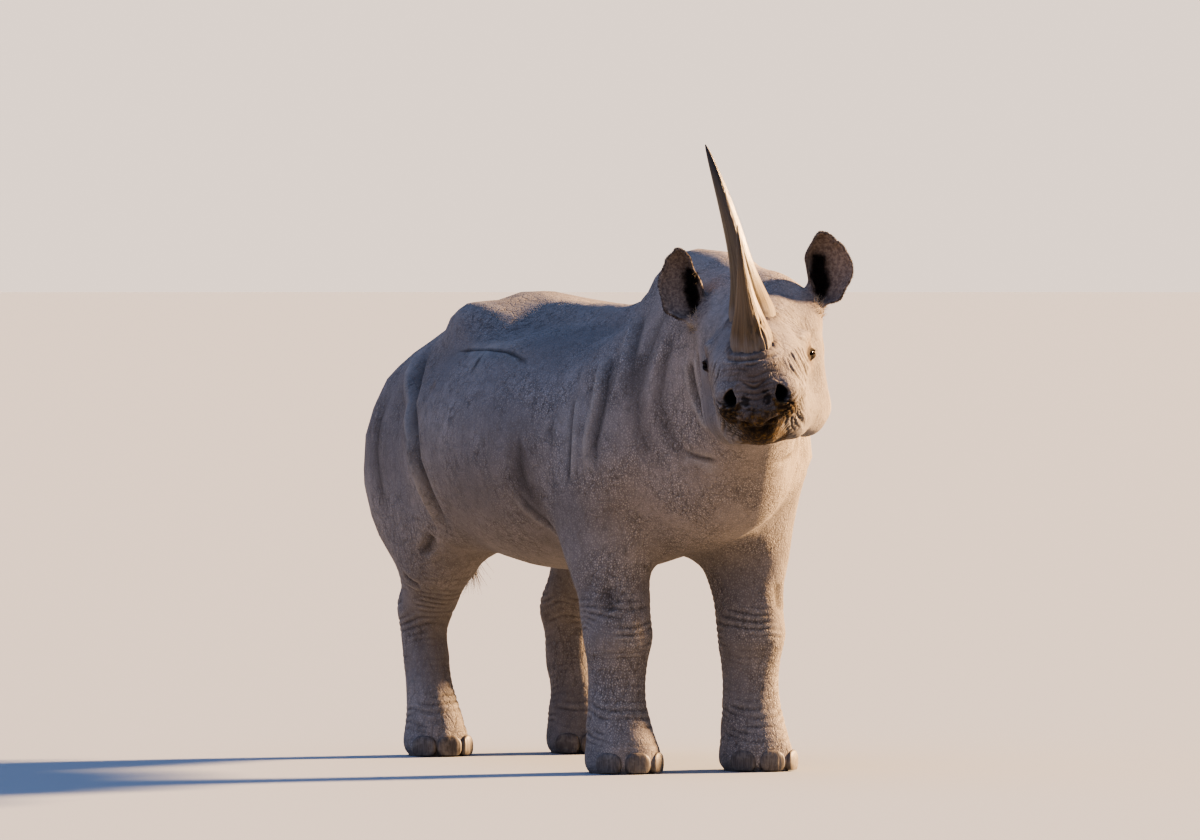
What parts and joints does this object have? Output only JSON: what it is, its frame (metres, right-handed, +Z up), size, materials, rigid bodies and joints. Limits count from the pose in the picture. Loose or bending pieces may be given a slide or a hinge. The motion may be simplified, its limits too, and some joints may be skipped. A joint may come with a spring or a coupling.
{
  "type": "black rhinoceros",
  "caption": "Life-size standing black rhinoceros, head turned to its right, with tall upright nose horns, cupped ears, bare folded hide and a thin tufted tail.",
  "frame": {"origin": "centre of the bounding box, on the floor between the four feet", "axes": "+Y from the nose to the tail, +X to the animal's left, +Z up"},
  "size_m": [1.0254, 2.8332, 1.8541],
  "materials": {
    "hide": "dry, dusty, wrinkled bare skin",
    "horn": "fibrous keratin, worn smooth towards the tip",
    "toenail": "scuffed dull keratin",
    "eye": "wet, dark brown",
    "hair": "coarse dark bristle on the ears, lids and tail"
  },
  "bodies": {
    "root": {"trunk": "hide", "neck": "hide", "leg_front_left": "hide", "leg_front_right": "hide", "leg_hind_left": "hide", "leg_hind_right": "hide", "head": "hide", "horn_front": "horn", "horn_rear": "horn", "ear_left": "hide", "ear_right": "hide", "eye_left": "eye", "eye_right": "eye", "tail": "hide", "toenail_front_left_1": "toenail", "toenail_front_left_2": "toenail", "toenail_front_left_3": "toenail", "toenail_front_right_1": "toenail", "toenail_front_right_2": "toenail", "toenail_front_right_3": "toenail", "toenail_hind_left_1": "toenail", "toenail_hind_left_2": "toenail", "toenail_hind_left_3": "toenail", "toenail_hind_right_1": "toenail", "toenail_hind_right_2": "toenail", "toenail_hind_right_3": "toenail"}
  },
  "joints": []
}
